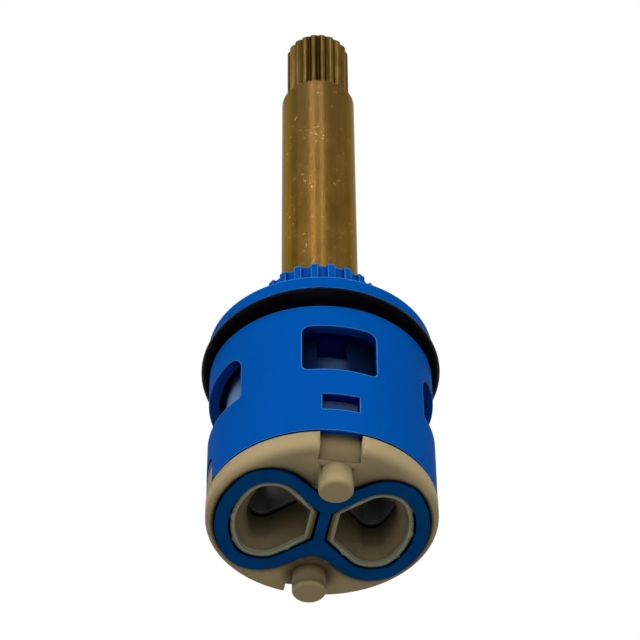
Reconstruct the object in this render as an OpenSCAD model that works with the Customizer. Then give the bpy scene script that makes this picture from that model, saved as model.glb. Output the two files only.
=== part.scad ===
// Two-way diverter cartridge for a concealed shower valve.
// Millimetres. The origin is the centre of the base's seating face, +Z runs up the spindle,
// the locating pins lie along Y and the two outlet ports along X.
// The rotor is drawn at the middle of its travel, with both outlets half open.

/* [Spindle] */
// Diameter of the plain shaft
shaft_d = 9.3; // [8.6:0.1:10]
// Radial step from the plain shaft out to the journal inside the housing
journal_step = 0.25; // [0.2:0.05:0.4]
// Height of the plain shaft's shoulder above the base face
shaft_top_z = 70.2; // [50:0.1:90]
// Diameter over the spline's teeth
spline_d = 8; // [7.6:0.05:8.4]
// Length of the spline above the shoulder
spline_len = 10.2; // [7:0.1:14]
// Number of spline teeth
spline_teeth = 20; // [16:1:24]
// Depth of a spline groove
spline_depth = 0.47; // [0.3:0.01:0.5]
// Chamfer on the splined end
spline_chamfer = 0.35; // [0.1:0.05:0.6]
// Diameter of the tapped hole for the handle screw
screw_hole_d = 4.2; // [3:0.1:5]
// Depth of the tapped hole for the handle screw
screw_hole_depth = 12; // [6:0.5:16]
// Diameter of the thrust flange that stops the spindle from being pulled out
thrust_flange_d = 12.4; // [11.8:0.1:12.6]
// Thickness of the thrust flange
thrust_flange_t = 1.7; // [1.2:0.1:2]
// Distance across the flats of the hexagonal drive end
hex_af = 6.8; // [5.5:0.1:7.2]
// Length of the hexagonal drive end
hex_len = 6.6; // [5:0.1:7]

/* [Spindle seals] */
// Thickness of a spindle O-ring
spindle_ring_t = 1.5; // [1.2:0.1:1.8]
// Height of the upper spindle O-ring
upper_ring_z = 31.4; // [30:0.1:32]
// Height of the lower spindle O-ring
lower_ring_z = 26.8; // [25.5:0.1:28]
// Length of an O-ring groove beyond the ring's own thickness
ring_groove_play = 0.3; // [0.1:0.05:0.5]

/* [Housing] */
// Diameter of the housing
body_d = 26; // [25.6:0.1:26.4]
// Wall thickness of the housing
wall = 1.2; // [1:0.05:1.4]
// Lead-in chamfer inside the housing's lower edge
skirt_lead = 0.5; // [0.2:0.05:0.7]
// Height of the housing's ceiling over the rotor
ceiling_z = 19.8; // [19.6:0.1:20]
// Height of the O-ring groove's lower side
groove_z = 21.45; // [21.2:0.05:22]
// Thickness of the housing O-ring
body_ring_t = 2.7; // [2.2:0.05:2.8]
// Height by which the housing O-ring stands out of the housing
body_ring_proud = 1; // [0.8:0.05:1.2]
// Overhang of the flange above the O-ring beyond the housing
flange_lip = 0.25; // [0.1:0.05:0.7]
// Thickness of the flange above the O-ring
flange_t = 1.7; // [0.9:0.05:2.2]
// Diameter over the collar's teeth
collar_d = 14.4; // [13.8:0.1:15]
// Height of the collar's top
collar_top_z = 34.1; // [33.8:0.1:36]
// Number of collar teeth
collar_teeth = 22; // [16:1:26]
// Depth of a gap between collar teeth
collar_gap_depth = 0.42; // [0.3:0.02:0.6]
// Width of a collar tooth
collar_tooth_w = 0.9; // [0.5:0.02:1]
// Turn of the collar's teeth from the front
collar_turn = 1.5; // [0:0.5:8]

/* [Housing openings] */
// Width of the front and rear windows
front_window_w = 8.5; // [6:0.1:10]
// Height of the front and rear windows' lower edge
front_window_z = 11.7; // [11:0.05:12]
// Height of the front and rear windows
front_window_h = 6.65; // [5:0.05:7]
// Upper corner radius of the front and rear windows
front_window_r = 1; // [0.3:0.1:1.5]
// Lower corner radius of the front and rear windows
front_window_low_r = 0.7; // [0.3:0.1:1.2]
// Width of the side windows
side_window_w = 15.4; // [12:0.1:16.4]
// Height of the side windows' lower edge
side_window_z = 10.85; // [10.4:0.05:11.4]
// Height of the side windows
side_window_h = 6.65; // [5:0.05:7]
// Upper corner radius of the side windows
side_window_r = 2.1; // [0.5:0.1:2.5]
// Lower corner radius of the side windows
side_window_low_r = 0.4; // [0.2:0.1:1]
// Width of the snap slots
slot_w = 4.2; // [3:0.1:5]
// Height of the snap slots' lower edge
slot_z = 5.75; // [5.2:0.05:6]
// Height of the snap slots
slot_h = 2.25; // [2:0.05:2.6]
// Width of the key notches in the skirt
notch_w = 4.7; // [4:0.1:5.5]
// Height of the key notches' top above the base face
notch_top_z = 6.7; // [5.5:0.1:7]
// Corner radius of the key notches
notch_r = 1.3; // [0.6:0.1:1.8]

/* [Base] */
// Overhang of the base's band beyond the housing
base_lip = 0.05; // [0:0.05:0.3]
// Height of the base's visible band
band_h = 2.6; // [2.2:0.05:3.2]
// Rounding of the base's lower edge
base_edge_r = 1.5; // [0.5:0.1:1.8]
// Diameter of a locating pin
pin_d = 3.9; // [3:0.1:4.4]
// Distance from the housing's outside in to the axis of a locating pin
pin_inset = 4.1; // [3.9:0.05:4.4]
// Length of a locating pin
pin_len = 2.75; // [1.5:0.05:5]
// Rounding of a locating pin's end
pin_end_r = 0.45; // [0.1:0.05:0.9]
// Width of the channels cut in the base's side beside the pins
channel_w = 4.75; // [3:0.05:5]
// Depth of a channel's floor below the housing's outside
channel_depth = 2; // [1.6:0.05:2.1]
// Height of the deck that carries the fixed disc's seals
deck_z = 4.2; // [4:0.05:4.6]
// Height of the cup's rim round the fixed disc
cup_top_z = 8.4; // [8:0.05:8.8]
// Thickness of the cup's wall
cup_wall = 1.15; // [0.9:0.05:1.2]
// Clearance between a key and its notch, on each side
key_play = 0.25; // [0.1:0.05:0.4]

/* [Snap ring] */
// Thickness of the snap ring
snap_ring_t = 0.6; // [0.5:0.05:0.7]
// Height of the snap ring and of its lugs
snap_ring_h = 1.6; // [1:0.1:1.8]
// Depth of a lug's face below the housing's outside
lug_sink = 0.8; // [0.6:0.05:1]
// Clearance round a lug in its slot and round the ring in its groove
lug_play = 0.1; // [0.05:0.05:0.15]

/* [Ports] */
// Distance from the housing's outside in to the outer side of a port tube
port_inset = 2.8; // [2.7:0.05:3.1]
// Distance from the tubes' outer circle in to a port tube's end along Y
port_end_inset = 3.78; // [3.6:0.01:4.2]
// Distance from the axis to a port tube's flat nose
port_nose_x = 0.9; // [0.8:0.05:1.2]
// Half the width of a port tube's flat nose
port_nose_half = 2.3; // [1.8:0.05:2.6]
// Wall thickness of a port tube's rim
port_rim = 0.45; // [0.4:0.05:0.8]
// Wall thickness of a port tube's nose, which doesn't taper
port_nose_wall = 0.75; // [0.6:0.05:0.9]
// Narrowing of a port from the tube's outside to the passage
port_narrow = 1.75; // [1.6:0.05:1.9]
// Height of the tube rims below the base face
port_rim_drop = 0.1; // [0:0.05:0.3]
// Height of the straight lip inside a port tube's rim
port_lip_h = 0.3; // [0.1:0.05:0.5]
// Depth of the funnel from the lip to the passage
funnel_depth = 1.2; // [0.6:0.1:1.6]
// Height of a retaining nib on a port tube
nib_h = 0.28; // [0.1:0.02:0.3]
// Width of a retaining nib
nib_w = 0.9; // [0.4:0.05:1.2]
// Angle between the nibs on a port tube's outer side
nib_turn = 23.4; // [20:0.2:26]

/* [Gasket and disc seals] */
// Width of the gasket on the port tubes' outer side
gasket_w = 1.5; // [1.3:0.05:1.6]
// Width of the gasket at the port tubes' ends along Y
gasket_end_w = 1.9; // [1.6:0.05:2]
// Half the gasket's length along Y at its waist
gasket_waist_y = 5.05; // [4.6:0.05:5.3]
// Radius of the gasket's waist
gasket_waist_r = 1.8; // [1:0.1:2.4]
// Slope of the gasket's flanks
gasket_flank_angle = 39.7; // [36:0.1:42]
// Depth of the gasket's seat in the base face
gasket_seat_depth = 1.9; // [1.4:0.05:2]
// Height by which the gasket stands out of the base face
gasket_proud = 0.3; // [0.1:0.05:0.5]
// Clearance between the gasket and the port tubes
gasket_play = 0.3; // [0.1:0.02:0.3]
// Clearance round the gasket in its seat
gasket_seat_play = 0.1; // [0.05:0.01:0.15]
// Depth of a disc seal's seat in the deck
seal_seat_depth = 1.2; // [1:0.05:1.4]
// Width of a disc seal
seal_w = 0.95; // [0.8:0.05:1]
// Wall between a disc seal's seat and the passage
seal_wall = 0.3; // [0.25:0.05:0.35]
// Height by which a disc seal stands above the deck
seal_proud = 0.6; // [0.4:0.05:0.8]

/* [Discs] */
// Thickness of the fixed ceramic disc
fixed_disc_t = 4.2; // [3.8:0.05:4.4]
// Thickness of the moving ceramic disc
moving_disc_t = 3.2; // [2.8:0.05:3.4]
// Radial clearance of the moving ceramic disc in the carrier
moving_disc_play = 0.2; // [0.1:0.05:0.4]
// Diameter of the moving disc's hub
moving_hub_d = 5.2; // [4.4:0.1:5.4]
// Diameter of the two drive pegs in the moving disc
peg_d = 2.4; // [2:0.1:2.8]
// Depth of the two drive pegs in the moving disc
peg_len = 1.6; // [1.2:0.1:2]

/* [Disc carrier] */
// Radial clearance between the disc carrier and the housing
carrier_play = 0.8; // [0.6:0.05:0.9]
// Wall thickness of the disc carrier
carrier_wall = 1.3; // [1:0.05:1.35]
// Height of the carrier's lower edge
carrier_z = 10; // [9.8:0.1:10.4]
// Thickness of the carrier's floor over the moving disc
carrier_floor_t = 1.4; // [1:0.1:1.8]
// Thickness of the carrier's top plate
carrier_top_t = 1.6; // [1.2:0.1:2]
// Half the angle of the carrier's closed side
carrier_side_half = 97; // [95:1:100]
// Depth of the recess in the carrier's front
carrier_recess = 1.5; // [1:0.1:1.8]
// Half the angle of the carrier's recessed front
carrier_front_half = 31; // [28:1:34]
// Height of the vent notch's lower edge in the recessed front
vent_z = 16.7; // [16:0.1:17]
// Angle of the vent notch's middle from the front
vent_turn = -2; // [-6:0.5:6]
// Width of the vent notch
vent_w = 3.4; // [2:0.1:4]
// Angle turned by the rotor between its stops
travel = 90; // [80:1:90]
// Half the angle of the stop lug
stop_half = 8; // [6:0.5:10]

/* [Fits] */
// Radial clearance of the spindle in the housing and of the drive pegs
running_play = 0.05; // [0.03:0.01:0.08]
// Radial clearance of the base's cup in the housing
spigot_play = 0.1; // [0.05:0.01:0.15]
// Gap between parts that face each other without a fit
part_gap = 0.2; // [0.1:0.05:0.3]
// Gap between parts that bear on each other
bearing_gap = 0.02; // [0.01:0.01:0.04]

/* [Hidden] */
$fn = 96;

eps = 0.01;
margin = 1;
root = 0.5;
through = 40;
seam_gap = 0.1;

shaft_r = shaft_d / 2;
spline_r = spline_d / 2;
journal_r = shaft_r + journal_step;
journal_top_z = collar_top_z - seam_gap;
bore_r = journal_r + running_play;
spindle_ring_r = bore_r - bearing_gap;
ring_floor_r = spindle_ring_r - spindle_ring_t;
washer_t = 0.7;
pocket_r = thrust_flange_d / 2 + part_gap;
pocket_h = 2.8;
pocket_top_z = ceiling_z + pocket_h;
thrust_flange_top_z = pocket_top_z - washer_t - 2 * bearing_gap;
thrust_flange_z = thrust_flange_top_z - thrust_flange_t;
hex_end_z = thrust_flange_z - hex_len;

body_r = body_d / 2;
inner_r = body_r - wall;
skirt_z = band_h + seam_gap;
groove_top_z = groove_z + body_ring_t;
flange_top_z = groove_top_z + flange_t;
body_ring_r = body_r + body_ring_proud;
groove_floor_r = body_ring_r - body_ring_t;
flange_r = body_r + flange_lip;
collar_r = collar_d / 2;
collar_root_r = collar_r - collar_gap_depth;

cup_r = inner_r - spigot_play;
cup_inner_r = cup_r - cup_wall;
disc_z = deck_z + seal_proud;
disc_top_z = disc_z + fixed_disc_t;
fixed_disc_r = cup_inner_r - spigot_play;
disc_rib_r = 1.1;
base_r = body_r + base_lip;
pin_y = body_r - pin_inset;
channel_floor_r = body_r - channel_depth;
key_r = body_r - seam_gap;
low_corner_r = 0.1;
mouth_r = 1;
gasket_floor_z = gasket_seat_depth;
seal_floor_z = deck_z - seal_seat_depth;
channel_top_z = skirt_z + skirt_lead;

lug_r = body_r - lug_sink;
snap_ring_z = slot_z + lug_play;
snap_ring_gap = 14;

moving_disc_z = disc_top_z + bearing_gap;
moving_disc_top_z = moving_disc_z + moving_disc_t;
carrier_r = inner_r - carrier_play;
carrier_front_r = carrier_r - carrier_recess;
moving_disc_r = carrier_r - carrier_wall - moving_disc_play;
peg_inset = 2.55;
peg_turn = 48.5;
peg_x = (moving_disc_r - peg_inset) * sin(peg_turn);
peg_y = -(moving_disc_r - peg_inset) * cos(peg_turn);
carrier_floor_z = moving_disc_top_z + bearing_gap;
carrier_top_z = ceiling_z - part_gap;
carrier_plate_z = carrier_top_z - carrier_top_t;
recess_sill = 0.8;
carrier_recess_z = carrier_floor_z + recess_sill;
carrier_web_half = carrier_front_half + 8;
boss_r = 5.6;
rib_t = 1.3;
stop_lug_h = 1.1;
stop_w = 1.8;
stop_in_r = pocket_r + margin;
stop_out_r = stop_in_r + stop_w;

seam = 0.002;
port_outer_r = body_r - port_inset;
port_half_y = port_outer_r - port_end_inset;
passage_nose_x = port_nose_x + port_nose_wall;
nib_place = 0.7;
port_corner_r = corner_radius(port_outer_r, port_half_y, 45, port_nose_half - port_nose_x);
port_corner = corner_centre(port_corner_r, port_half_y, 45, port_nose_half - port_nose_x);
gasket_outer_r = port_outer_r + gasket_play + gasket_w;
gasket_half_y = port_half_y + gasket_play + gasket_end_w;
gasket_flank_y = gasket_waist_y + gasket_waist_r - gasket_waist_r / cos(gasket_flank_angle);
gasket_corner_r = corner_radius(gasket_outer_r, gasket_half_y, gasket_flank_angle, gasket_flank_y);
gasket_corner = corner_centre(gasket_corner_r, gasket_half_y, gasket_flank_angle, gasket_flank_y);

// Shared shapes

// Copies its children on the two opposite sides of the axis
module both_sides() {
  for (turn = [0, 180])
    rotate(turn) children();
}

// Ring of round section about the axis
module ring(outer_r, thickness, z) {
  translate([0, 0, z])
    rotate_extrude()
      translate([outer_r - thickness / 2, 0])
        circle(d = thickness, $fn = 40);
}

// Flat ring between two heights
module tube(outer_r, inner_r, z0, z1) {
  translate([0, 0, z0])
    linear_extrude(z1 - z0)
      difference() {
        circle(outer_r);
        circle(inner_r);
      }
}

// Part of a disc between two angles measured from the front
module sector(r, from, to) {
  steps = ceil((to - from) / 30);
  polygon(concat(
    [[0, 0]],
    [for (i = [0:steps])
      let (a = from + (to - from) * i / steps)
      r / cos(15) * [sin(a), -cos(a)]]
  ));
}

// Upright rectangle on the X axis with its own corner radii at the top and the bottom
module window_shape(w, h, top_r, low_r) {
  middle = (h - top_r + low_r) / 2;
  translate([-w / 2, low_r]) square([w, h - top_r - low_r]);
  translate([-w / 2 + low_r, 0]) square([w - 2 * low_r, middle]);
  translate([-w / 2 + top_r, middle]) square([w - 2 * top_r, h - middle]);
  for (side = [-1, 1]) {
    translate([side * (w / 2 - top_r), h - top_r]) circle(top_r);
    translate([side * (w / 2 - low_r), low_r]) circle(low_r);
  }
}

// Opening cut outward from the axis, towards the front
module front_opening(z) {
  translate([0, 0, z])
    rotate([90, 0, 0])
      linear_extrude(through) children();
}

// Radius of the corner circle that touches an outer arc about the axis, the line y = half_y
// and a flank that rises at an angle from the height flank_y on the axis
function corner_radius(outer_r, half_y, angle, flank_y) =
  let (
    k = (1 / cos(angle) - 1) / tan(angle),
    u = (half_y - flank_y) / tan(angle),
    a = k * k,
    b = 2 * (k * u - half_y + outer_r),
    c = u * u + half_y * half_y - outer_r * outer_r
  )
  (-b + sqrt(b * b - 4 * a * c)) / (2 * a);

// Centre of that corner circle
function corner_centre(r, half_y, angle, flank_y) =
  [(r / cos(angle) - flank_y + half_y - r) / tan(angle), half_y - r];

// Outline of a lobe's flat sides, from its nose to the ends of its flanks and the corner circles' centres
function lobe_flats(centre, r, angle, nose) =
  let (touch = centre + (r - seam) * [-sin(angle), cos(angle)])
  [nose, [nose[0], -nose[1]], [touch[0], -touch[1]], [centre[0], -centre[1]], centre, touch];

// Sector in which a lobe is bounded by its outer arc
module lobe_sector(centre) {
  polygon([centre / 2, [centre[0] / 2, -centre[1] / 2], [2 * centre[0], -2 * centre[1]], 2 * centre]);
}

// Right-hand lobe bounded by an outer arc about the axis, two corner circles, two flanks and a nose
module lobe(outer_r, centre, r, angle, nose) {
  polygon(lobe_flats(centre, r, angle, nose));
  for (side = [-1, 1])
    translate([centre[0], side * centre[1]]) circle(r);
  intersection() {
    circle(outer_r - seam);
    lobe_sector(centre);
  }
}

// Corner of the right-hand port's nose at a distance x from the axis, where the flanks are moved out by grow
function port_nose(grow, x) = [x, port_nose_half + x - port_nose_x + grow * sqrt(2)];

// Outline of the right-hand port with its nose at x, larger than the tube's outside by grow, or smaller
// where grow is below zero
module port_outline(grow, x) {
  lobe(port_outer_r + grow, port_corner, port_corner_r + grow, 45, port_nose(grow, x));
}

// Outline of the right-hand passage, larger all round by grow
module passage_outline(grow) {
  port_outline(grow - port_narrow, passage_nose_x - grow);
}

// Body of the right-hand port's outline that narrows over its height from one grow to another
module port_taper(grow, top_grow, x, h) {
  for (side = [-1, 1])
    translate([port_corner[0], side * port_corner[1], 0])
      cylinder(r1 = port_corner_r + grow, r2 = port_corner_r + top_grow, h = h);
  intersection() {
    cylinder(r1 = port_outer_r + grow - seam, r2 = port_outer_r + top_grow - seam, h = h);
    linear_extrude(h) lobe_sector(port_corner);
  }
  flats = lobe_flats(port_corner, port_corner_r + grow, 45, port_nose(grow, x));
  top_flats = lobe_flats(port_corner, port_corner_r + top_grow, 45, port_nose(top_grow, x));
  hull() {
    linear_extrude(eps) polygon(flats);
    translate([0, 0, h - eps]) linear_extrude(eps) polygon(top_flats);
  }
}

// Outline of the base gasket without its openings, larger all round by grow
module gasket_outline(grow) {
  slope = tan(gasket_flank_angle);
  flank_y = gasket_flank_y + grow / cos(gasket_flank_angle);
  waist_r = gasket_waist_r - grow;
  waist_x = waist_r * sin(gasket_flank_angle);
  nose = [-root, flank_y - root * slope];
  both_sides()
    lobe(gasket_outer_r + grow, gasket_corner, gasket_corner_r + grow, gasket_flank_angle, nose);
  both_sides()
    difference() {
      polygon([
        [0, margin], [waist_x, flank_y + waist_x * slope - seam], [-waist_x, flank_y + waist_x * slope - seam]
      ]);
      translate([0, gasket_waist_y + gasket_waist_r]) circle(waist_r);
    }
}

// Pointed nib that stands out along X
module nib() {
  sunk = 5 * eps;
  polygon([[-sunk, -nib_w / 2], [nib_h, 0], [-sunk, nib_w / 2]]);
}

// Nibs round a port tube that grip the gasket
module nibs() {
  nose = port_nose(0, port_nose_x);
  flank_end = port_corner + port_corner_r * [-sin(45), cos(45)];
  flank_place = nose + nib_place * (flank_end - nose);
  for (turn = [-nib_turn, 0, nib_turn])
    rotate(turn) translate([port_outer_r, 0]) nib();
  for (side = [-1, 1])
    translate([flank_place[0], side * flank_place[1]]) rotate(side * 135) nib();
}

// Housing

// Half section of the housing's outside
module housing_section() {
  polygon([
    [0, skirt_z], [body_r, skirt_z], [body_r, groove_z], [groove_floor_r, groove_z],
    [groove_floor_r, groove_top_z], [flange_r, groove_top_z],
    [flange_r, flange_top_z], [0, flange_top_z]
  ]);
}

// Toothed neck on the flange
module collar() {
  translate([0, 0, flange_top_z - eps])
    linear_extrude(collar_top_z - flange_top_z + eps)
      union() {
        circle(collar_root_r);
        for (k = [0:collar_teeth - 1])
          rotate(collar_turn + k * 360 / collar_teeth)
            translate([-collar_tooth_w / 2, -collar_r])
              square([collar_tooth_w, collar_gap_depth * 2]);
      }
}

// Notch in the skirt for a key, with rounded corners at its mouth
module notch_shape(h, w, r) {
  window_shape(w, h, r, low_corner_r);
  difference() {
    translate([-w / 2 - mouth_r, -eps]) square([w + 2 * mouth_r, mouth_r + eps]);
    for (side = [-1, 1])
      translate([side * (w / 2 + mouth_r), mouth_r]) circle(mouth_r, $fn = 32);
  }
}

module housing() {
  color([0.02, 0.33, 0.67])
  difference() {
    union() {
      rotate_extrude() housing_section();
      collar();
    }
    translate([0, 0, skirt_z - margin]) cylinder(r = inner_r, h = ceiling_z - skirt_z + margin);
    translate([0, 0, skirt_z - eps])
      cylinder(r1 = inner_r + skirt_lead + eps, r2 = inner_r, h = skirt_lead + eps);
    translate([0, 0, ceiling_z - margin]) cylinder(r = pocket_r, h = pocket_h + margin);
    cylinder(r = bore_r, h = collar_top_z + margin);
    translate([0, 0, ceiling_z - eps])
      linear_extrude(stop_lug_h + part_gap)
        intersection() {
          difference() {
            circle(stop_out_r + part_gap);
            circle(stop_in_r - part_gap);
          }
          rotate(180) sector(through, -travel / 2 - stop_half - 1, travel / 2 + stop_half + 1);
        }
    both_sides() {
      front_opening(front_window_z)
        window_shape(front_window_w, front_window_h, front_window_r, front_window_low_r);
      front_opening(slot_z) translate([-slot_w / 2, 0]) square([slot_w, slot_h]);
      rotate(90) front_opening(side_window_z)
        window_shape(side_window_w, side_window_h, side_window_r, side_window_low_r);
      rotate(90) front_opening(skirt_z) notch_shape(notch_top_z - skirt_z, notch_w, notch_r);
    }
  }
}

module housing_o_ring() {
  color([0.04, 0.04, 0.04])
    ring(body_ring_r, body_ring_t - 2 * eps, groove_z + body_ring_t / 2);
}

// Spindle

// One groove of the spline, a square bar on its corner, and its slanted run-out
module spline_groove() {
  bar = 2;
  run_out_angle = 35;
  translate([0, -spline_r + spline_depth, shaft_top_z + 0.9]) {
    linear_extrude(spline_len + 1) rotate(-135) square(bar);
    rotate([180 - run_out_angle, 0, 0]) linear_extrude(bar * 2) rotate(45) square(bar);
  }
}

// Groove turned in the shaft for a spindle O-ring
module ring_groove(z) {
  length = spindle_ring_t + ring_groove_play;
  tube(journal_r + 1, ring_floor_r, z - length / 2, z + length / 2);
}

module spindle() {
  tip_z = shaft_top_z + spline_len;
  color([0.55, 0.43, 0.2])
  difference() {
    union() {
      translate([0, 0, thrust_flange_z]) cylinder(r = shaft_r, h = shaft_top_z - thrust_flange_z);
      translate([0, 0, thrust_flange_z]) cylinder(r = journal_r, h = journal_top_z - thrust_flange_z);
      translate([0, 0, thrust_flange_z]) cylinder(d = thrust_flange_d, h = thrust_flange_t);
      translate([0, 0, hex_end_z])
        cylinder(d = hex_af / cos(30), h = hex_len + eps, $fn = 6);
      difference() {
        union() {
          translate([0, 0, shaft_top_z - eps]) cylinder(r = spline_r, h = spline_len - spline_chamfer + eps);
          translate([0, 0, tip_z - spline_chamfer])
            cylinder(r1 = spline_r, r2 = spline_r - spline_chamfer, h = spline_chamfer);
        }
        for (k = [0:spline_teeth - 1])
          rotate((k + 0.5) * 360 / spline_teeth) spline_groove();
      }
    }
    ring_groove(upper_ring_z);
    ring_groove(lower_ring_z);
    translate([0, 0, tip_z - screw_hole_depth]) cylinder(d = screw_hole_d, h = screw_hole_depth + 1);
    translate([0, 0, tip_z - 0.4])
      cylinder(d1 = screw_hole_d - eps, d2 = screw_hole_d + 0.8 + eps, h = 0.4 + eps);
  }
}

module spindle_o_ring_upper() {
  color([0.05, 0.05, 0.05]) ring(spindle_ring_r, spindle_ring_t - eps, upper_ring_z);
}

module spindle_o_ring_lower() {
  color([0.05, 0.05, 0.05]) ring(spindle_ring_r, spindle_ring_t - eps, lower_ring_z);
}

module thrust_washer() {
  color([0.92, 0.92, 0.9])
    tube(
      thrust_flange_d / 2, journal_r + part_gap,
      thrust_flange_top_z + bearing_gap, pocket_top_z - bearing_gap
    );
}

// Disc carrier

// Plan of the carrier's closed side, from the axis out to a radius
module closed_side(r) {
  intersection() {
    circle(r);
    sector(through, -carrier_side_half, carrier_side_half);
  }
}

// Plan of the stiffening ribs between the carrier's floor and its top plate
module carrier_ribs() {
  for (turn = [-80, -52, 52, 80])
    rotate(turn) translate([-rib_t / 2, -carrier_r + carrier_wall / 2])
      square([rib_t, carrier_r - boss_r]);
}

// Plan of the ring sector outside a radius in the carrier's front
module front_sector(r, half) {
  difference() {
    sector(through, -half, half);
    circle(r);
  }
}

module disc_carrier() {
  color([0.78, 0.8, 0.82])
  difference() {
    union() {
      translate([0, 0, carrier_z]) linear_extrude(carrier_top_z - carrier_z)
        difference() {
          closed_side(carrier_r);
          circle(carrier_r - carrier_wall);
        }
      translate([0, 0, carrier_floor_z]) linear_extrude(carrier_top_z - carrier_floor_z)
        intersection() {
          front_sector(carrier_front_r - carrier_wall, carrier_web_half);
          circle(carrier_r - carrier_wall / 2);
        }
      translate([0, 0, carrier_floor_z]) linear_extrude(carrier_floor_t) closed_side(carrier_r);
      translate([0, 0, carrier_floor_z]) cylinder(r = boss_r, h = carrier_top_z - carrier_floor_z);
      translate([0, 0, carrier_floor_z]) linear_extrude(carrier_top_z - carrier_floor_z) carrier_ribs();
      translate([0, 0, carrier_plate_z]) cylinder(r = carrier_r, h = carrier_top_t);
      for (side = [-1, 1])
        translate([side * peg_x, peg_y, moving_disc_top_z - peg_len])
          cylinder(d = peg_d, h = peg_len + carrier_floor_t, $fn = 48);
      translate([0, 0, carrier_top_z - eps])
        linear_extrude(stop_lug_h + eps)
          intersection() {
            difference() {
              circle(stop_out_r);
              circle(stop_in_r);
            }
            rotate(180) sector(through, -stop_half, stop_half);
          }
    }
    translate([0, 0, hex_end_z - part_gap])
      cylinder(d = hex_af / cos(30) + 2 * running_play, h = through, $fn = 6);
    translate([0, 0, carrier_recess_z])
      linear_extrude(through) front_sector(carrier_front_r, carrier_front_half);
    rotate(vent_turn) translate([-vent_w / 2, -through, vent_z])
      cube([vent_w, through - boss_r - 1, through]);
  }
}

// Discs

module moving_disc() {
  r = moving_disc_r;
  peg_hole_h = peg_len + part_gap;
  color([0.88, 0.88, 0.86])
  difference() {
    translate([0, 0, moving_disc_z])
      linear_extrude(moving_disc_t)
        union() {
          circle(d = moving_hub_d);
          intersection() {
            circle(r);
            translate([-r, -2 * r]) square([2 * r, 2 * r]);
          }
        }
    for (side = [-1, 1])
      translate([side * peg_x, peg_y, moving_disc_top_z - peg_hole_h])
        cylinder(d = peg_d + 2 * running_play, h = peg_hole_h + margin, $fn = 48);
  }
}

// Plan of the two ribs in the cup that keep the fixed disc from turning
module disc_ribs(play) {
  both_sides()
    translate([0, -fixed_disc_r - disc_rib_r / 2]) circle(disc_rib_r + play, $fn = 48);
}

module fixed_disc() {
  color([0.42, 0.43, 0.42])
    translate([0, 0, disc_z])
      linear_extrude(fixed_disc_t)
        difference() {
          circle(fixed_disc_r);
          disc_ribs(part_gap);
          both_sides() passage_outline(0);
        }
}

// Plan of the seal round the right-hand port, widened by play
module seal_plan(play) {
  difference() {
    passage_outline(seal_wall + seal_w + play);
    passage_outline(seal_wall - play);
  }
}

module disc_seal() {
  color([0.06, 0.06, 0.06])
    translate([0, 0, seal_floor_z + eps])
      linear_extrude(disc_z - seal_floor_z - 2 * eps) seal_plan(0);
}

module right_disc_seal() {
  disc_seal();
}

module left_disc_seal() {
  rotate(180) disc_seal();
}

// Base

// Half section of the base's band, with its rounded lower edge
module band_section() {
  intersection() {
    union() {
      square([base_r - base_edge_r, band_h]);
      translate([0, base_edge_r]) square([base_r, band_h - base_edge_r]);
      translate([base_r - base_edge_r, base_edge_r]) circle(base_edge_r);
    }
    square([base_r + margin, band_h]);
  }
}

// Locating pin that points down from the base face, with a rounded end
module locating_pin() {
  r = pin_d / 2;
  translate([0, 0, -pin_len])
    rotate_extrude()
      intersection() {
        union() {
          translate([0, pin_end_r]) square([r, pin_len - pin_end_r + eps]);
          square([r - pin_end_r, pin_len]);
          translate([r - pin_end_r, pin_end_r]) circle(pin_end_r, $fn = 48);
        }
        square([r + margin, pin_len + margin]);
      }
}

// Key on the right-hand side of the cup, rounded at its top like the notch
module side_key() {
  w = notch_w - 2 * key_play;
  h = notch_top_z - key_play - band_h;
  intersection() {
    rotate(90) front_opening(band_h - root) window_shape(w, h + root, notch_r - key_play / 2, low_corner_r);
    tube(key_r, cup_r - root, band_h - root, notch_top_z);
  }
}

// Rim, funnel and passage of the right-hand port, as the space they take away from the base
module port_space() {
  lip_z = port_lip_h - port_rim_drop;
  translate([0, 0, -margin]) linear_extrude(deck_z + 2 * margin) passage_outline(0);
  translate([0, 0, -margin]) linear_extrude(margin + lip_z) port_outline(-port_rim, passage_nose_x);
  translate([0, 0, lip_z]) port_taper(-port_rim, -port_narrow, passage_nose_x, funnel_depth);
}

module base() {
  color([0.66, 0.59, 0.45])
  difference() {
    union() {
      difference() {
        union() {
          rotate_extrude() band_section();
          translate([0, 0, band_h - eps]) cylinder(r = cup_r, h = cup_top_z - band_h + eps);
          both_sides() side_key();
        }
        translate([0, 0, deck_z]) cylinder(r = cup_inner_r, h = through);
        tube(
          cup_r + eps, cup_r - snap_ring_t - lug_play / 2,
          snap_ring_z - lug_play / 2, snap_ring_z + snap_ring_h + lug_play / 2
        );
        translate([0, 0, -margin])
          linear_extrude(gasket_seat_depth + margin) gasket_outline(gasket_seat_play);
      }
      both_sides() {
        translate([0, -pin_y, 0]) locating_pin();
        translate([0, 0, -port_rim_drop])
          linear_extrude(gasket_seat_depth + port_rim_drop + root) {
            port_outline(0, port_nose_x);
            nibs();
          }
      }
      translate([0, 0, deck_z - root])
        linear_extrude(cup_top_z - deck_z + root)
          intersection() {
            circle(cup_inner_r + root / 2);
            disc_ribs(0);
          }
    }
    both_sides() {
      port_space();
      translate([0, 0, seal_floor_z]) linear_extrude(through) seal_plan(eps);
      translate([-channel_w / 2, -through, -margin])
        cube([channel_w, through - channel_floor_r, channel_top_z + margin]);
    }
  }
}

module base_gasket() {
  color([0.02, 0.2, 0.38])
    translate([0, 0, -gasket_proud])
      linear_extrude(gasket_floor_z + gasket_proud - eps)
        difference() {
          gasket_outline(0);
          both_sides() port_outline(gasket_play, port_nose_x - gasket_play);
        }
}

// Snap ring

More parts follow.
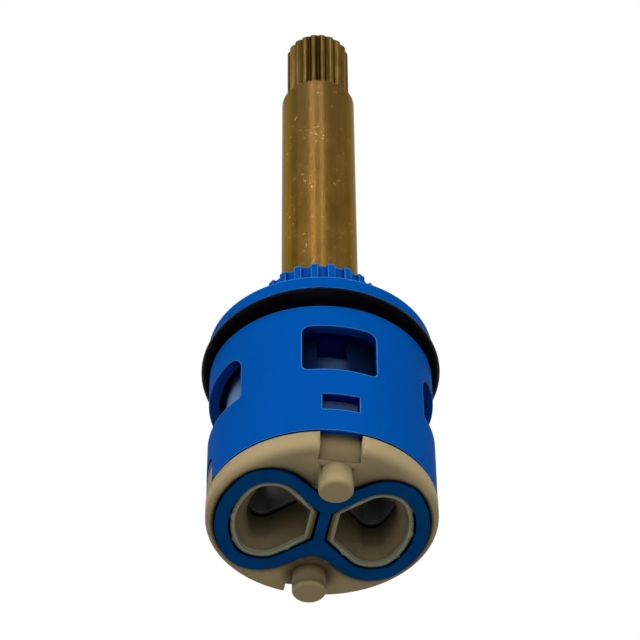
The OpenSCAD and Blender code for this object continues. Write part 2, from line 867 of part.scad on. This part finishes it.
// Lug on the snap ring's front, with a chamfer on its upper edge
module snap_lug() {
  w = slot_w - 2 * lug_play;
  chamfer = 0.3;
  root = cup_r - snap_ring_t / 2;
  top_z = snap_ring_z + snap_ring_h;
  translate([-w / 2, 0, 0])
    rotate([90, 0, 90])
      linear_extrude(w)
        polygon([
          [-root, snap_ring_z], [-root, top_z], [-lug_r + chamfer, top_z],
          [-lug_r, top_z - chamfer], [-lug_r, snap_ring_z]
        ]);
}

module snap_ring() {
  color([0.5, 0.55, 0.62]) {
    difference() {
      tube(cup_r, cup_r - snap_ring_t, snap_ring_z, snap_ring_z + snap_ring_h);
      rotate(90) translate([0, 0, slot_z])
        linear_extrude(slot_h + margin)
          sector(through, -snap_ring_gap / 2, snap_ring_gap / 2);
    }
    both_sides() snap_lug();
  }
}

housing();
housing_o_ring();
spindle();
spindle_o_ring_upper();
spindle_o_ring_lower();
thrust_washer();
disc_carrier();
moving_disc();
fixed_disc();
left_disc_seal();
right_disc_seal();
base();
base_gasket();
snap_ring();
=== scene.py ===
import math

import bmesh
import bpy
from mathutils import Matrix, Vector


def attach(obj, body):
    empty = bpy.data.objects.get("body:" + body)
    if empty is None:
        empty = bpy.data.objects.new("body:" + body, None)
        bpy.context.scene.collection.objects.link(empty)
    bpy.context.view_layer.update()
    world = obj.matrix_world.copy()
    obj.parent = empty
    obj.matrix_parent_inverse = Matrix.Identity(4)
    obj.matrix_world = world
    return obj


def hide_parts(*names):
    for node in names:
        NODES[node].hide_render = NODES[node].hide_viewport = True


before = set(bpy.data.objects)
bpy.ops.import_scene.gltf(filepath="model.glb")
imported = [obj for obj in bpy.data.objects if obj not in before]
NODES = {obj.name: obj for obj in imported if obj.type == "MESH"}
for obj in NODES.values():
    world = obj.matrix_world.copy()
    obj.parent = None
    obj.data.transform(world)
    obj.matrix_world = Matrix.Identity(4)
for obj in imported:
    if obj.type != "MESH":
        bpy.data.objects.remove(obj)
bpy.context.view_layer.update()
SCENE = bpy.context.scene


# Lengths are in metres, and colours are written as they look on a screen, from 0 to 255


def linear(red, green, blue):
    """Linear RGBA of a colour given as it looks on a screen, by the sRGB curve."""
    out = []
    for value in (red, green, blue):
        share = value / 255
        out.append(share / 12.92 if share <= 0.04045 else ((share + 0.055) / 1.055) ** 2.4)
    return (*out, 1.0)


WHITE = (1.0, 1.0, 1.0, 1.0)


# Camera, fitted to the photograph: the base's centre shows right of and below the image's middle

FOCAL_PX = 2600.0
IMAGE_PX = 640.0
SENSOR_MM = 36.0
DISTANCE = 0.2899
ELEVATION = math.radians(43.97)
TURN = math.radians(-10.0)
ROLL = math.radians(-0.55)
BASE_CENTRE_PX = (2.0, 201.0)
BASE_HEIGHT = 0.0006
CLIP_START = 0.01
CLIP_END = 20.0


def add_camera():
    """Camera below the base, looking up along the spindle from the front pin's side."""
    forward = Vector((0, math.cos(ELEVATION), math.sin(ELEVATION)))
    right_level = Vector((1, 0, 0))
    up_level = Vector((0, -math.sin(ELEVATION), math.cos(ELEVATION)))
    right = math.cos(ROLL) * right_level + math.sin(ROLL) * up_level
    up = math.cos(ROLL) * up_level - math.sin(ROLL) * right_level
    pixel = DISTANCE / FOCAL_PX
    aside, down = (pixel * count for count in BASE_CENTRE_PX)
    place = -forward * DISTANCE - right * aside + up * down
    turn = Matrix.Rotation(TURN, 3, "Z")
    axes = [turn @ axis for axis in (right, up, -forward)]
    matrix = Matrix([[axis[row] for axis in axes] for row in range(3)]).to_4x4()
    matrix.translation = turn @ place + Vector((0, 0, BASE_HEIGHT))
    data = bpy.data.cameras.new("camera")
    data.sensor_width = SENSOR_MM
    data.lens = FOCAL_PX / IMAGE_PX * SENSOR_MM
    data.clip_start = CLIP_START
    data.clip_end = CLIP_END
    camera = bpy.data.objects.new("camera", data)
    camera.matrix_world = matrix
    SCENE.collection.objects.link(camera)
    SCENE.camera = camera


add_camera()


# Material nodes

OCCLUSION_SAMPLES = 16
BEVEL_SAMPLES = 8
EDGE_RADIUS = 0.0003

# Cosines between the rounded and the flat surface's directions, on an edge and clear of it
EDGE_COSINES = (0.86, 0.985)

# The Mix node's sockets share their names, so they are taken by their places
MIX_FACTOR = 0
MIX_VALUES = (2, 3)
MIX_VALUE_OUT = 0
MIX_COLOURS = (6, 7)
MIX_COLOUR_OUT = 2


class Material:
    """A node material with short calls for its nodes."""

    def __init__(self, name):
        self.material = bpy.data.materials.new(name)
        self.material.use_nodes = True
        self.tree = self.material.node_tree
        self.shader = self.tree.nodes["Principled BSDF"]
        self.place = self.node("ShaderNodeTexCoord").outputs["Object"]
        self.rounded = None

    def node(self, kind, **settings):
        """A new node with the given settings."""
        node = self.tree.nodes.new(kind)
        for key, value in settings.items():
            setattr(node, key, value)
        return node

    def feed(self, socket, value):
        """Links another node's output to the socket, or sets the socket to a plain value."""
        if isinstance(value, bpy.types.NodeSocket):
            self.tree.links.new(value, socket)
        else:
            socket.default_value = value

    def surface(self, **values):
        """Feeds the shader's sockets, named with _ where their names have a space."""
        for key, value in values.items():
            self.feed(self.shader.inputs[key.replace("_", " ")], value)

    def stretched(self, scale):
        """The surface's place, scaled along each axis."""
        node = self.node("ShaderNodeMapping")
        self.feed(node.inputs["Vector"], self.place)
        self.feed(node.inputs["Scale"], scale)
        return node.outputs["Vector"]

    def noise(self, scale, detail, rough, stretch=None):
        """Noise between 0 and 1, drawn out along an axis whose stretch is below 1."""
        node = self.node("ShaderNodeTexNoise")
        self.feed(node.inputs["Scale"], scale)
        self.feed(node.inputs["Detail"], detail)
        self.feed(node.inputs["Roughness"], rough)
        self.feed(node.inputs["Vector"], self.stretched(stretch) if stretch else self.place)
        return node.outputs["Fac"]

    def remap(self, value, low, high, to_low, to_high):
        """A value between to_low and to_high, which are reached at low and high."""
        node = self.node("ShaderNodeMapRange")
        self.feed(node.inputs["Value"], value)
        self.feed(node.inputs["From Min"], low)
        self.feed(node.inputs["From Max"], high)
        self.feed(node.inputs["To Min"], to_low)
        self.feed(node.inputs["To Max"], to_high)
        return node.outputs["Result"]

    def rise(self, value, low, high):
        """0 up to low, and 1 from high on."""
        return self.remap(value, low, high, 0.0, 1.0)

    def fall(self, value, low, high):
        """1 up to low, and 0 from high on."""
        return self.remap(value, low, high, 1.0, 0.0)

    def math(self, operation, *values):
        """What a Math node makes of one or two values."""
        node = self.node("ShaderNodeMath", operation=operation)
        for socket, value in zip(node.inputs, values, strict=False):
            self.feed(socket, value)
        return node.outputs["Value"]

    def total(self, a, b):
        """The sum of two values."""
        return self.math("ADD", a, b)

    def product(self, first, *others):
        """All the values multiplied together."""
        for other in others:
            first = self.math("MULTIPLY", first, other)
        return first

    def mix(self, factor, a, b, blend="MIX"):
        """The colour a at factor 0 and b at factor 1, or a blended with b."""
        node = self.node("ShaderNodeMix", data_type="RGBA", blend_type=blend)
        self.feed(node.inputs[MIX_FACTOR], factor)
        for place, colour in zip(MIX_COLOURS, (a, b), strict=True):
            self.feed(node.inputs[place], colour)
        return node.outputs[MIX_COLOUR_OUT]

    def dim(self, colour, where, share):
        """The colour, of which only the given share is left where the mask is 1."""
        grey = self.node("ShaderNodeCombineColor")
        for socket in grey.inputs:
            self.feed(socket, share)
        dimmed = self.mix(1.0, colour, grey.outputs["Color"], "MULTIPLY")
        return self.mix(where, colour, dimmed)

    def occlusion(self, distance):
        """1 where a surface lies open and 0 deep in a hollow of about the given size."""
        node = self.node("ShaderNodeAmbientOcclusion", samples=OCCLUSION_SAMPLES)
        self.feed(node.inputs["Distance"], distance)
        return node.outputs["AO"]

    def soft_edges(self):
        """Rounds the shading over sharp edges, and gives a mask that is 1 on them."""
        bevel = self.node("ShaderNodeBevel", samples=BEVEL_SAMPLES)
        self.feed(bevel.inputs["Radius"], EDGE_RADIUS)
        self.rounded = bevel.outputs["Normal"]
        flat = self.node("ShaderNodeNewGeometry").outputs["Normal"]
        cosine = self.node("ShaderNodeVectorMath", operation="DOT_PRODUCT")
        for socket, normal in zip(cosine.inputs, (self.rounded, flat), strict=False):
            self.feed(socket, normal)
        return self.fall(cosine.outputs["Value"], *EDGE_COSINES)

    def coordinate(self, axis):
        """The surface's place along X, Y or Z."""
        node = self.node("ShaderNodeSeparateXYZ")
        self.feed(node.inputs["Vector"], self.place)
        return node.outputs[axis]

    def aside(self, axis):
        """How far the surface lies from the middle along X, Y or Z."""
        return self.math("ABSOLUTE", self.coordinate(axis))

    def radius(self, y=0.0):
        """Distance from the upright line that crosses the Y axis at the given place."""
        from_line = self.node("ShaderNodeVectorMath", operation="SUBTRACT")
        self.feed(from_line.inputs[0], self.stretched((1.0, 1.0, 0.0)))
        self.feed(from_line.inputs[1], (0.0, y, 0.0))
        length = self.node("ShaderNodeVectorMath", operation="LENGTH")
        self.feed(length.inputs[0], from_line.outputs["Vector"])
        return length.outputs["Value"]

    def gloss(self, pattern, limits, rough, spread):
        """Roughness that follows a pattern, up to the spread on either side of its middle value."""
        self.surface(Roughness=self.remap(pattern, *limits, rough - spread, rough + spread))

    def relief(self, height, strength, distance):
        """Bumps on top of the rounded edges."""
        node = self.node("ShaderNodeBump")
        self.feed(node.inputs["Height"], height)
        self.feed(node.inputs["Strength"], strength)
        self.feed(node.inputs["Distance"], distance)
        self.feed(node.inputs["Normal"], self.rounded)
        self.surface(Normal=node.outputs["Normal"])


# Finishes

SOFT_IOR = 1.2
RUBBER_IOR = 1.1

# Most of a noise, and of two noises added together, lies in these ranges
ONE_NOISE = (0.3, 0.7)
TWO_NOISES = (0.6, 1.4)

# Size of a crevice, and how openness there turns into painted shade and into painted highlights on edges
CREVICE = 0.0008
CREVICE_OPEN = (0.3, 0.75)
CREVICE_SHARE = 0.35
OUTWARD_OPEN = (0.7, 0.95)


def shaded(finish, colour, deep, light, hollow, depth, edge):
    """Colour with painted shade, a deep tone in hollows and crevices, and a painted highlight, lighter
    along edges.
    """
    open_wide = finish.rise(finish.occlusion(hollow), *depth)
    near = finish.occlusion(CREVICE)
    open_near = finish.remap(near, *CREVICE_OPEN, CREVICE_SHARE, 1.0)
    # Painted shade: the deep tone where the surface lies in a hollow or crevice
    colour = finish.mix(finish.product(open_wide, open_near), deep, colour)
    # Painted highlight: the light colour along open edges
    painted_highlight = finish.remap(near, *OUTWARD_OPEN, 0.0, edge)
    return finish.mix(finish.product(finish.soft_edges(), painted_highlight), colour, light)


def moulded(finish, colour, dark, deep, light, rough, specular, hollow, depth, edge):
    """Moulded plastic with faint flow clouds, a fine skin grain, painted highlights on its edges and
    painted shade in its hollows.
    """
    clouds = finish.noise(scale=140.0, detail=4.0, rough=0.6)
    flow = finish.noise(scale=60.0, detail=2.0, rough=0.5, stretch=(1.0, 1.0, 0.25))
    skin = finish.noise(scale=2600.0, detail=3.0, rough=0.6)
    tone = finish.rise(finish.total(clouds, flow), low=0.7, high=1.3)
    colour = shaded(finish, finish.mix(tone, dark, colour), deep, light, hollow, depth, edge)
    finish.gloss(finish.total(skin, clouds), TWO_NOISES, rough, spread=0.06)
    finish.relief(finish.total(skin, finish.product(clouds, 3.0)), strength=0.25, distance=0.00002)
    finish.surface(Specular_IOR_Level=specular, IOR=SOFT_IOR)
    return colour


def plastic(name, **look):
    """Plain moulded plastic."""
    finish = Material(name)
    finish.surface(Base_Color=moulded(finish, **look))
    return finish.material


def rubber(name, colour, dark, deep, light, rough, specular):
    """Moulded rubber with a fine matt grain, painted highlights on its edges and painted shade in its
    hollows.
    """
    finish = Material(name)
    clouds = finish.noise(scale=220.0, detail=4.0, rough=0.6)
    grain = finish.noise(scale=4200.0, detail=3.0, rough=0.6)
    tone = finish.rise(clouds, low=0.35, high=0.65)
    colour = finish.mix(tone, dark, colour)
    # Painted shade in hollows and a painted highlight on edges
    finish.surface(Base_Color=shaded(finish, colour, deep, light, hollow=0.004, depth=(0.3, 0.9), edge=0.3))
    finish.gloss(finish.total(grain, clouds), TWO_NOISES, rough, spread=0.07)
    finish.relief(grain, strength=0.3, distance=0.00002)
    finish.surface(Specular_IOR_Level=specular, IOR=RUBBER_IOR)
    return finish.material


def ceramic(name, colour, dark, deep, rough):
    """Fired ceramic with faint specks and a lapped sheen."""
    finish = Material(name)
    specks = finish.noise(scale=2400.0, detail=4.0, rough=0.7)
    clouds = finish.noise(scale=180.0, detail=3.0, rough=0.5)
    tone = finish.rise(finish.total(specks, clouds), low=0.75, high=1.25)
    toned = finish.mix(tone, dark, colour)
    # Painted shade in hollows, and the plain colour as a painted highlight on edges
    finish.surface(Base_Color=shaded(finish, toned, deep, colour, hollow=0.006, depth=(0.2, 0.7), edge=0.3))
    finish.gloss(specks, ONE_NOISE, rough, spread=0.05)
    finish.relief(specks, strength=0.15, distance=0.00001)
    finish.surface(Specular_IOR_Level=0.2)
    return finish.material


# Base plastic: places on the base, how much of its colour is left there under painted shade, and its
# painted highlight on the rims

FACE_BLUR = 0.0002
PORTS_HALF_Y = 0.0062
PORTS_BLUR = 0.0005
# Openness and shares of colour for the painted shade down the ports and beside them
PORT_HOLLOW = 0.016
FUNNEL_OPEN = (0.78, 0.95)
FUNNEL_SHARE = 0.42
PASSAGE_OPEN = (0.1, 0.6)
PASSAGE_SHARE = 0.35
SHELTER_OPEN = (0.5, 0.85)
SHELTER_SHARE = 0.25
REAR_PIN_Y = 0.0089
PIN_R = 0.00195
# Size, height and colour of the painted shadow at the rear pin's foot
FOOT_SHADE_R = 0.0034
FOOT_SHADE_H = 0.0012
FOOT_SHADE = linear(66, 54, 35)
# Height and tone of the painted shade, tinted by painted blue bounce light, on the cup inside the housing
CUP_Z = 0.005
INNER_SHADE = linear(22, 48, 112)
INNER_STRENGTH = 0.9
# Place and colour of the painted highlight on the ports' rims
RIMS_R = 0.0104
WAIST_HALF_X = 0.0012
RIM_Z = 0.00025
RIM_BLUR = 0.0001
RIM_PALENESS = 0.6
RIM_COLOUR = linear(144, 155, 134)


def port_rims(finish, height, in_ports):
    """1 on the end faces of the port tubes, which carry a painted highlight."""
    within = finish.fall(finish.radius(), RIMS_R, RIMS_R + PORTS_BLUR)
    beside_waist = finish.rise(finish.aside("X"), WAIST_HALF_X, WAIST_HALF_X + PORTS_BLUR)
    low = finish.fall(height, RIM_Z, RIM_Z + RIM_BLUR)
    return finish.product(within, beside_waist, low, in_ports)


def rear_pin_foot(finish, height, below):
    """1 on the base's face and the pin where the two meet, and 0 further off, for the painted shadow there.
    """
    near_pin = finish.fall(finish.radius(REAR_PIN_Y), PIN_R, FOOT_SHADE_R)
    near_face = finish.rise(height, -FOOT_SHADE_H, 0.0)
    return finish.product(near_pin, near_face, below)


def base_plastic(name, **look):
    """Moulded plastic with painted shade down the ports, beside them, at the rear pin's foot and inside,
    and a painted highlight on the ports' rims.
    """
    finish = Material(name)
    colour = moulded(finish, **look)
    height = finish.coordinate("Z")
    below = finish.fall(height, 0.0, FACE_BLUR)
    in_ports = finish.fall(finish.aside("Y"), PORTS_HALF_Y, PORTS_HALF_Y + PORTS_BLUR)
    openness = finish.occlusion(PORT_HOLLOW)
    # Painted shade down the funnels and passages of the ports
    funnel = finish.remap(openness, *FUNNEL_OPEN, FUNNEL_SHARE, 1.0)
    passage = finish.remap(openness, *PASSAGE_OPEN, PASSAGE_SHARE, 1.0)
    colour = finish.dim(colour, in_ports, finish.product(funnel, passage))
    # Painted shade on the face beside the ports, where it is sheltered
    beside_ports = finish.product(below, finish.math("SUBTRACT", 1.0, in_ports))
    colour = finish.dim(colour, beside_ports, finish.remap(openness, *SHELTER_OPEN, SHELTER_SHARE, 1.0))
    # Painted shadow at the rear pin's foot
    colour = finish.mix(rear_pin_foot(finish, height, below), colour, FOOT_SHADE)
    # Painted shade and painted blue bounce light on the cup inside the housing
    inside = finish.remap(height, CUP_Z, CUP_Z + FACE_BLUR, 0.0, INNER_STRENGTH)
    colour = finish.mix(inside, colour, INNER_SHADE)
    # Painted highlight on the ports' rims
    rims = finish.product(port_rims(finish, height, in_ports), RIM_PALENESS)
    finish.surface(Base_Color=finish.mix(rims, colour, RIM_COLOUR))
    return finish.material


# Brass: heights on the spindle, and colours from its dark streaks to its bright specks

BROWN_FROM_Z = 0.05
BROWN_STRENGTH = 0.75
SHOULDER_Z = 0.0702
SHOULDER_BLUR = 0.0002
RUN_OUT_Z = 0.0712
RUN_OUT_BLUR = 0.0006
BRASS_DARK = linear(78, 57, 24)
BRASS_MIDDLE = linear(106, 82, 37)
BRASS_BROWN = linear(84, 63, 36)
BRASS_SPECK = linear(196, 168, 88)
SPLINE_DARK = linear(58, 44, 18)
SPLINE_MIDDLE = linear(96, 78, 40)
# Painted shade in the brass's hollows and painted highlight on its edges
BRASS_DEEP = linear(30, 19, 7)
BRASS_EDGE = linear(150, 126, 78)
RUN_OUT_SPARK = linear(142, 92, 52)
BRASS_SHEEN = linear(232, 214, 184)


def turned_brass(name):
    """Tarnished brass with lengthwise streaks, fine turning rings, bright specks and a dark spline."""
    finish = Material(name)
    streaks = finish.noise(scale=520.0, detail=4.0, rough=0.6, stretch=(1.0, 1.0, 0.012))
    patches = finish.noise(scale=260.0, detail=5.0, rough=0.65, stretch=(1.0, 1.0, 0.5))
    rings = finish.noise(scale=900.0, detail=3.0, rough=0.7, stretch=(0.02, 0.02, 5.0))
    tone = finish.rise(finish.total(streaks, patches), low=0.8, high=1.25)
    height = finish.coordinate("Z")
    colour = finish.mix(tone, BRASS_DARK, BRASS_MIDDLE)
    brown = finish.remap(height, BROWN_FROM_Z, SHOULDER_Z, 0.0, BROWN_STRENGTH)
    colour = finish.mix(brown, colour, BRASS_BROWN)
    worn = finish.rise(patches, low=0.5, high=0.62)
    specks = finish.noise(scale=1900.0, detail=2.0, rough=0.6)
    specks = finish.remap(specks, low=0.63, high=0.7, to_low=0.0, to_high=0.7)
    colour = finish.mix(finish.product(specks, worn), colour, BRASS_SPECK)
    spline = finish.rise(height, SHOULDER_Z, SHOULDER_Z + SHOULDER_BLUR)
    colour = finish.mix(spline, colour, finish.mix(tone, SPLINE_DARK, SPLINE_MIDDLE))
    # Painted shade in hollows and a painted highlight on edges
    colour = shaded(finish, colour, BRASS_DEEP, BRASS_EDGE, hollow=0.003, depth=(0.3, 0.9), edge=0.5)
    run_out = finish.product(finish.fall(height, RUN_OUT_Z, RUN_OUT_Z + RUN_OUT_BLUR), spline)
    sparks = finish.noise(scale=1200.0, detail=2.0, rough=0.6)
    sparks = finish.remap(sparks, low=0.5, high=0.6, to_low=0.0, to_high=0.6)
    finish.surface(Base_Color=finish.mix(finish.product(sparks, run_out), colour, RUN_OUT_SPARK))
    finish.gloss(finish.total(rings, patches), TWO_NOISES, rough=0.32, spread=0.08)
    marks = finish.total(finish.total(rings, patches), finish.product(streaks, 2.0))
    finish.relief(marks, strength=0.25, distance=0.00003)
    finish.surface(Metallic=1.0, Specular_Tint=BRASS_SHEEN)
    return finish.material


# Looks of the pieces: deep is the painted shade in hollows, light the painted highlight on edges

HOUSING_BLUE = plastic(
    "housing_blue",
    colour=linear(0, 78, 162), dark=linear(0, 73, 154),
    deep=linear(2, 24, 108), light=linear(96, 164, 216),
    rough=0.5, specular=0.02, hollow=0.012, depth=(0.35, 0.8), edge=0.45,
)
BASE_TAN = base_plastic(
    "base_tan",
    colour=linear(164, 147, 110), dark=linear(154, 137, 101),
    deep=linear(34, 29, 18), light=linear(206, 194, 162),
    rough=0.48, specular=0.08, hollow=0.006, depth=(0.05, 0.5), edge=0.6,
)
# Light grey tinted blue-grey by painted light bounced from the blue housing, with painted shade behind the
# windows
CARRIER_GREY = plastic(
    "carrier_grey",
    colour=linear(108, 140, 180), dark=linear(98, 130, 172),
    deep=linear(11, 26, 60), light=linear(120, 150, 186),
    rough=0.45, specular=0.05, hollow=0.016, depth=(0.6, 0.88), edge=0.0,
)
# Dark blue-grey: the tone seen in the slot, with painted shade and painted blue bounce light in it
SNAP_GREY = plastic(
    "snap_grey",
    colour=linear(38, 56, 88), dark=linear(34, 50, 80),
    deep=linear(4, 8, 22), light=linear(70, 88, 120),
    rough=0.45, specular=0.05, hollow=0.004, depth=(0.2, 0.6), edge=0.3,
)
WASHER_WHITE = plastic(
    "washer_white",
    colour=linear(226, 226, 220), dark=linear(214, 214, 206),
    deep=linear(60, 60, 58), light=linear(236, 236, 232),
    rough=0.45, specular=0.2, hollow=0.006, depth=(0.3, 0.9), edge=0.5,
)
RING_BLACK = rubber(
    "ring_black",
    colour=linear(3, 3, 6), dark=linear(2, 2, 5), deep=linear(1, 1, 2), light=linear(8, 8, 11),
    rough=0.26, specular=0.1,
)
GASKET_BLUE = rubber(
    "gasket_blue",
    colour=linear(1, 70, 130), dark=linear(1, 62, 116), deep=linear(0, 16, 38), light=linear(16, 92, 146),
    rough=0.5, specular=0.04,
)
DISC_GREY = ceramic(
    "disc_grey",
    colour=linear(130, 131, 126), dark=linear(118, 119, 114), deep=linear(52, 52, 49), rough=0.42,
)
DISC_WHITE = ceramic(
    "disc_white",
    colour=linear(150, 149, 142), dark=linear(140, 138, 130), deep=linear(22, 22, 20), rough=0.3,
)
SPINDLE_BRASS = turned_brass("spindle_brass")

LOOKS = {
    "housing": HOUSING_BLUE,
    "housing_o_ring": RING_BLACK,
    "spindle": SPINDLE_BRASS,
    "spindle_o_ring_upper": RING_BLACK,
    "spindle_o_ring_lower": RING_BLACK,
    "thrust_washer": WASHER_WHITE,
    "disc_carrier": CARRIER_GREY,
    "moving_disc": DISC_WHITE,
    "fixed_disc": DISC_GREY,
    "left_disc_seal": RING_BLACK,
    "right_disc_seal": RING_BLACK,
    "base": BASE_TAN,
    "base_gasket": GASKET_BLUE,
    "snap_ring": SNAP_GREY,
}

for name, node in NODES.items():
    node.data.materials.clear()
    node.data.materials.append(LOOKS[name])


# Base moulding: the CAD's forms, and the real ones that take their places

BAND_R = 0.01305
CAD_ROUND_R = 0.0015
ROUND_R = 0.0008
CAD_BAND_TOP_Z = 0.0026
BAND_TOP_Z = 0.0024
CAD_LEDGE_Z = 0.0032
LEDGE_Z = 0.004
CHANNEL_HALF_W = 0.0024
CHANNEL_FLOOR_Y = 0.0109
FACE_DEPTH = 0.0003
WALL_NORMAL_Z = 0.5
TOUCH = 0.00002
MERGE = 0.000002
SHARP_ANGLE = math.radians(30)


def lower_edge(place):
    """Where a point of the wide CAD rounding lies on the tighter rounding of the real moulding."""
    out = math.hypot(place.x, place.y) - (BAND_R - CAD_ROUND_R)
    down = CAD_ROUND_R - place.z
    if min(out, down) < -TOUCH or abs(math.hypot(out, down) - CAD_ROUND_R) > TOUCH:
        return place
    turn = math.atan2(out, down)
    radius = BAND_R - ROUND_R + ROUND_R * math.sin(turn)
    height = ROUND_R - ROUND_R * math.cos(turn)
    if abs(place.x) < CHANNEL_HALF_W:
        y = math.copysign(math.sqrt(radius ** 2 - place.x ** 2), place.y)
        return Vector((place.x, y, height))
    stretch = radius / math.hypot(place.x, place.y)
    return Vector((place.x * stretch, place.y * stretch, height))


def on_seat_wall(vertex):
    """Whether the point ends the wall of the gasket's seat, which stays where it is."""
    if vertex.co.z > FACE_DEPTH or abs(vertex.co.x) < CHANNEL_HALF_W:
        return False
    return any(abs(face.normal.z) < WALL_NORMAL_Z for face in vertex.link_faces)


def real_place(vertex):
    """Where a point of the CAD base lies on the real moulding."""
    place = vertex.co
    in_channel = abs(place.x) < CHANNEL_HALF_W and abs(place.y) > CHANNEL_FLOOR_Y
    if abs(place.z - CAD_BAND_TOP_Z) < TOUCH:
        return Vector((place.x, place.y, BAND_TOP_Z))
    if in_channel and abs(place.z - CAD_LEDGE_Z) < TOUCH:
        return Vector((place.x, place.y, LEDGE_Z))
    if on_seat_wall(vertex):
        return place
    return lower_edge(place)


def base_moulding():
    """The base with a tighter lower edge, a seam under the housing, and channels that run up past it."""
    form = bmesh.new()
    form.from_mesh(NODES["base"].data)
    bmesh.ops.remove_doubles(form, verts=form.verts, dist=MERGE)
    form.normal_update()
    for vertex in form.verts:
        vertex.co = real_place(vertex)
    bmesh.ops.dissolve_degenerate(form, edges=form.edges, dist=MERGE)
    for face in form.faces:
        face.smooth = True
    mesh = bpy.data.meshes.new("base_moulding")
    form.to_mesh(mesh)
    form.free()
    mesh.set_sharp_from_angle(angle=SHARP_ANGLE)
    mesh.materials.append(BASE_TAN)
    piece = bpy.data.objects.new("base_moulding", mesh)
    SCENE.collection.objects.link(piece)
    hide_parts("base")
    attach(piece, "stator")


base_moulding()


# Studio: lamps stand at a turn from the front and a height above the level, in degrees

FLOOR_Z = -1.0
FLOOR_HALF = 4.0
FLOOR_COLOUR = linear(224, 224, 224)
FLOOR_GLOW = 0.45
WORLD_LIGHT = 0.43
LAMP_AIM_Z = 0.03
LAMPS = {
    "front": dict(turn=-14, height=12, distance=0.6, size=0.3, power=1.1),
    "front_low": dict(turn=-14, height=-18, distance=0.45, size=0.3, power=0.58),
    "left": dict(turn=-70, height=16, distance=0.65, size=0.35, power=0.63),
    "right": dict(turn=48, height=16, distance=0.65, size=0.35, power=0.54),
    "top": dict(turn=-34, height=46, distance=0.7, size=0.7, power=0.74),
    "left_strip": dict(turn=-26.6, height=46, distance=0.7, size=0.07, power=0.46),
    "right_strip": dict(turn=-1.6, height=46, distance=0.7, size=0.07, power=0.28),
    "side": dict(turn=-117, height=44, distance=0.7, size=0.3, power=0.12),
}


def white_background(tree, light):
    """1 on rays from the camera, a reflection or glass, and the given light on all others."""
    path = tree.nodes.new("ShaderNodeLightPath")
    seen = path.outputs["Is Camera Ray"]
    for name in ("Is Glossy Ray", "Is Transmission Ray"):
        more = tree.nodes.new("ShaderNodeMath")
        more.operation = "MAXIMUM"
        tree.links.new(seen, more.inputs[0])
        tree.links.new(path.outputs[name], more.inputs[1])
        seen = more.outputs["Value"]
    mix = tree.nodes.new("ShaderNodeMix")
    tree.links.new(seen, mix.inputs[MIX_FACTOR])
    for place, value in zip(MIX_VALUES, (light, 1.0), strict=True):
        mix.inputs[place].default_value = value
    return mix.outputs[MIX_VALUE_OUT]


def add_floor():
    """Pale floor well below the part, which looks paler than the light that it sends back."""
    signs = ((-1, -1), (1, -1), (1, 1), (-1, 1))
    corners = [(x * FLOOR_HALF, y * FLOOR_HALF, FLOOR_Z) for x, y in signs]
    mesh = bpy.data.meshes.new("floor")
    mesh.from_pydata(corners, [], [(0, 1, 2, 3)])
    floor = bpy.data.objects.new("floor", mesh)
    SCENE.collection.objects.link(floor)
    finish = Material("floor_pale")
    finish.surface(Base_Color=FLOOR_COLOUR, Roughness=0.9, Specular_IOR_Level=0.1)
    glow = finish.product(white_background(finish.tree, 0.0), FLOOR_GLOW)
    finish.surface(Emission_Color=WHITE, Emission_Strength=glow)
    mesh.materials.append(finish.material)


def add_world():
    """White where the background shows, and a plain grey light for the rest."""
    world = bpy.data.worlds.new("studio")
    SCENE.world = world
    world.use_nodes = True
    background = world.node_tree.nodes["Background"]
    background.inputs["Color"].default_value = WHITE
    strength = white_background(world.node_tree, WORLD_LIGHT)
    world.node_tree.links.new(strength, background.inputs["Strength"])


def add_lamp(name, turn, height, distance, size, power):
    """Square soft box that looks at the middle of the part."""
    data = bpy.data.lights.new(name, "AREA")
    data.shape = "SQUARE"
    data.size = size
    data.energy = power
    lamp = bpy.data.objects.new(name, data)
    aim = Vector((0, 0, LAMP_AIM_Z))
    turn, height = math.radians(turn), math.radians(height)
    level = math.cos(height)
    out = Vector((math.sin(turn) * level, -math.cos(turn) * level, math.sin(height)))
    lamp.location = aim + out * distance
    lamp.rotation_mode = "QUATERNION"
    lamp.rotation_quaternion = (aim - lamp.location).to_track_quat("-Z", "Y")
    SCENE.collection.objects.link(lamp)


SCENE.view_settings.view_transform = "Standard"
add_floor()
add_world()
for name, values in LAMPS.items():
    add_lamp(name, **values)
